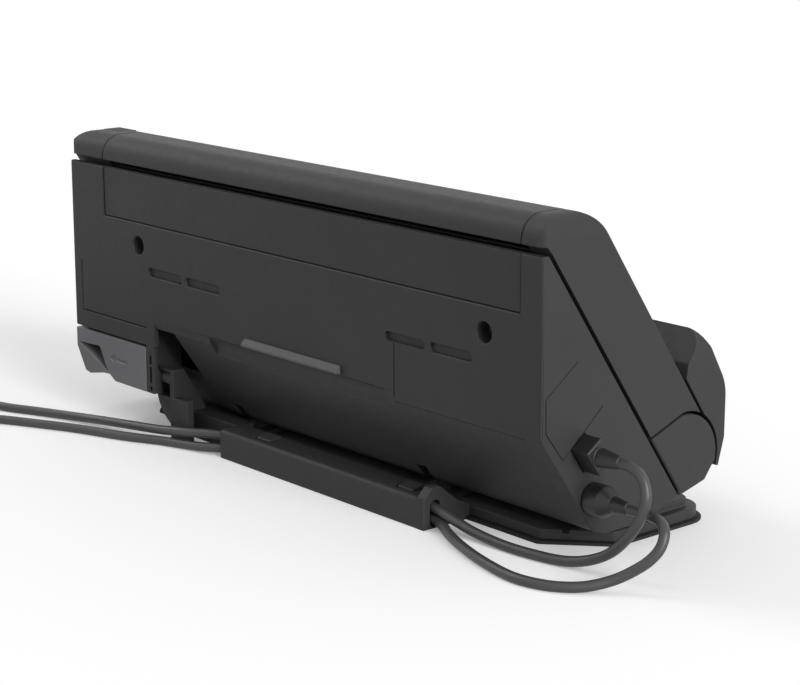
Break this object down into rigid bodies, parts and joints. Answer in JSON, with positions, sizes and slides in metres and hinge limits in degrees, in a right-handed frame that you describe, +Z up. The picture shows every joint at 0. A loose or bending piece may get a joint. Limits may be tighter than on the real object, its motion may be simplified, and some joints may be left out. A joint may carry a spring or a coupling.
{
  "type": "document scanner",
  "caption": "Compact sheet-fed document scanner on a tilting stand, with a hinged front cover, a flip-up input tray, a feed path with driven rollers, and its two leads.",
  "frame": {"origin": "on the surface that the scanner stands on, under the middle of the body's width, 60 mm in front of the flat back", "axes": "the front of the scanner faces -Y, +Z is up and +X runs along the body's width; the sockets are in the -X end"},
  "size_m": [0.4596, 0.2231, 0.1293],
  "materials": {
    "charcoal_plastic": "charcoal moulded plastic with a fine grain",
    "side_plastic": "slightly lighter charcoal moulded plastic with a fine grain",
    "selector_plastic": "mid-grey moulded plastic",
    "button_plastic": "grey moulded plastic",
    "scan_button_plastic": "smooth blue-grey plastic",
    "black_plastic": "black moulded plastic",
    "gloss_black": "glossy black plastic",
    "roller_plastic": "smooth off-white roller plastic",
    "black_rubber": "soft black rubber",
    "grey_rubber": "soft grey rubber",
    "brown_rubber": "soft brown rubber",
    "lead_jacket": "satin dark grey cable jacket",
    "steel": "plain bright steel",
    "sheet_steel": "zinc-plated sheet steel",
    "board": "green circuit board",
    "sensor_glass": "clear flat glass",
    "light_lens": "small green lens"
  },
  "bodies": {
    "base": {"base_plate": "charcoal_plastic", "base_foot": "black_rubber", "stand_arm": "charcoal_plastic", "cable_holder": "charcoal_plastic", "tilt_pins": "steel", "usb_lead": "lead_jacket", "usb_coil": "lead_jacket", "usb_far_plug": "black_plastic", "dc_lead": "lead_jacket", "dc_coil": "lead_jacket", "power_adapter": "black_plastic"},
    "main": {"rear_shell": "charcoal_plastic", "rest_pad": "grey_rubber", "rear_panel": "charcoal_plastic", "back_screws": "steel", "lower_front_housing": "side_plastic", "main_guide": "charcoal_plastic", "rear_sensor": "black_plastic", "rear_sensor_glass": "sensor_glass", "chassis_plates": "sheet_steel", "drive_motor": "steel", "drive_belts": "black_rubber", "main_board": "board", "usb_socket": "steel", "dc_socket": "black_plastic", "cover_hinge_pins": "steel", "usb_plug": "black_plastic", "dc_plug": "black_plastic"},
    "feed_roller": {"feed_shaft": "steel", "feed_tyres": "black_rubber"},
    "upper_roller": {"upper_shaft": "steel", "upper_tyres": "black_rubber"},
    "lower_roller": {"lower_shaft": "steel", "lower_tyres": "black_rubber"},
    "exit_roller": {"exit_shaft": "steel", "exit_tyres": "black_rubber"},
    "exit_pinch": {"exit_pinch_rollers": "roller_plastic"},
    "selector": {"position_selector": "selector_plastic"},
    "cover": {"adf_cover": "side_plastic", "output_guide": "side_plastic", "cover_guide": "charcoal_plastic", "front_sensor": "black_plastic", "front_sensor_glass": "sensor_glass", "control_panel": "gloss_black", "indicator_lights": "light_lens", "tray_hinge_pins": "steel"},
    "separation_roller": {"separation_hub": "roller_plastic", "separation_tyres": "brown_rubber"},
    "upper_pinch": {"upper_pinch_rollers": "roller_plastic"},
    "lower_pinch": {"lower_pinch_rollers": "roller_plastic"},
    "release": {"cover_release": "side_plastic"},
    "power": {"power_button": "button_plastic"},
    "stop": {"stop_button": "button_plastic"},
    "scan": {"scan_button": "scan_button_plastic"},
    "tray": {"input_tray": "side_plastic"},
    "extension": {"tray_extension": "side_plastic"},
    "guide_left": {"edge_guide_left": "button_plastic"},
    "guide_right": {"edge_guide_right": "button_plastic"}
  },
  "joints": [
    {"name": "stand_tilt", "type": "hinge", "parent": "base", "child": "main", "pos_m": [0, 0.02, 0.026], "axis": [-1, 0, 0], "range_deg": [0, 30]},
    {"name": "feed_spin", "type": "hinge", "parent": "main", "child": "feed_roller", "pos_m": [0, 0.04663, 0.08664], "axis": [1, 0, 0], "continuous": true},
    {"name": "upper_spin", "type": "hinge", "parent": "main", "child": "upper_roller", "pos_m": [0, 0.0327, 0.07197], "axis": [1, 0, 0], "continuous": true},
    {"name": "lower_spin", "type": "hinge", "parent": "main", "child": "lower_roller", "pos_m": [0, 0.0155, 0.0474], "axis": [1, 0, 0], "continuous": true},
    {"name": "exit_spin", "type": "hinge", "parent": "main", "child": "exit_roller", "pos_m": [0, 0.00058, 0.0261], "axis": [1, 0, 0], "continuous": true},
    {"name": "exit_pinch_spin", "type": "hinge", "parent": "main", "child": "exit_pinch", "pos_m": [0, -0.00867, 0.03258], "axis": [1, 0, 0], "continuous": true},
    {"name": "selector_slide", "type": "slide", "parent": "main", "child": "selector", "axis": [1, 0, 0], "range_m": [0, 0.01]},
    {"name": "cover_hinge", "type": "hinge", "parent": "main", "child": "cover", "pos_m": [0, -0.01648, 0.02902], "axis": [1, 0, 0], "range_deg": [0, 55]},
    {"name": "separation_spin", "type": "hinge", "parent": "cover", "child": "separation_roller", "pos_m": [0, 0.03451, 0.09513], "axis": [1, 0, 0], "continuous": true},
    {"name": "upper_pinch_spin", "type": "hinge", "parent": "cover", "child": "upper_pinch", "pos_m": [0, 0.02345, 0.07846], "axis": [1, 0, 0], "continuous": true},
    {"name": "lower_pinch_spin", "type": "hinge", "parent": "cover", "child": "lower_pinch", "pos_m": [0, 0.00624, 0.05388], "axis": [1, 0, 0], "continuous": true},
    {"name": "release_slide", "type": "slide", "parent": "cover", "child": "release", "axis": [1, 0, 0], "range_m": [0, 0.004], "stiffness_N_per_m": 200, "springref_m": -0.002},
    {"name": "power_press", "type": "slide", "parent": "cover", "child": "power", "axis": [0, 0.8191, -0.5736], "range_m": [0, 0.001], "stiffness_N_per_m": 300, "springref_m": -0.001},
    {"name": "stop_press", "type": "slide", "parent": "cover", "child": "stop", "axis": [0, 0.8191, -0.5736], "range_m": [0, 0.001], "stiffness_N_per_m": 300, "springref_m": -0.001},
    {"name": "scan_press", "type": "slide", "parent": "cover", "child": "scan", "axis": [0, 0.8191, -0.5736], "range_m": [0, 0.001], "stiffness_N_per_m": 300, "springref_m": -0.001},
    {"name": "tray_hinge", "type": "hinge", "parent": "cover", "child": "tray", "pos_m": [0, 0.0545, 0.124], "axis": [-1, 0, 0], "range_deg": [0, 160]},
    {"name": "extension_slide", "type": "slide", "parent": "tray", "child": "extension", "axis": [0, -0.5736, -0.8191], "range_m": [0, 0.026]},
    {"name": "guide_left_slide", "type": "slide", "parent": "tray", "child": "guide_left", "axis": [1, 0, 0], "range_m": [0, 0.05]},
    {"name": "guide_right_slide", "type": "slide", "parent": "tray", "child": "guide_right", "axis": [1, 0, 0], "range_m": [-0.05, 0]}
  ],
  "couplings": [
    {"joint": "upper_spin", "follows": "feed_spin", "ratio": 1.5},
    {"joint": "lower_spin", "follows": "feed_spin", "ratio": 1.5},
    {"joint": "exit_spin", "follows": "feed_spin", "ratio": 1.5},
    {"joint": "exit_pinch_spin", "follows": "feed_spin", "ratio": -1.8},
    {"joint": "upper_pinch_spin", "follows": "feed_spin", "ratio": -1.8},
    {"joint": "lower_pinch_spin", "follows": "feed_spin", "ratio": -1.8},
    {"joint": "separation_spin", "follows": "feed_spin", "ratio": -1.6364},
    {"joint": "guide_right_slide", "follows": "guide_left_slide", "ratio": -1}
  ]
}
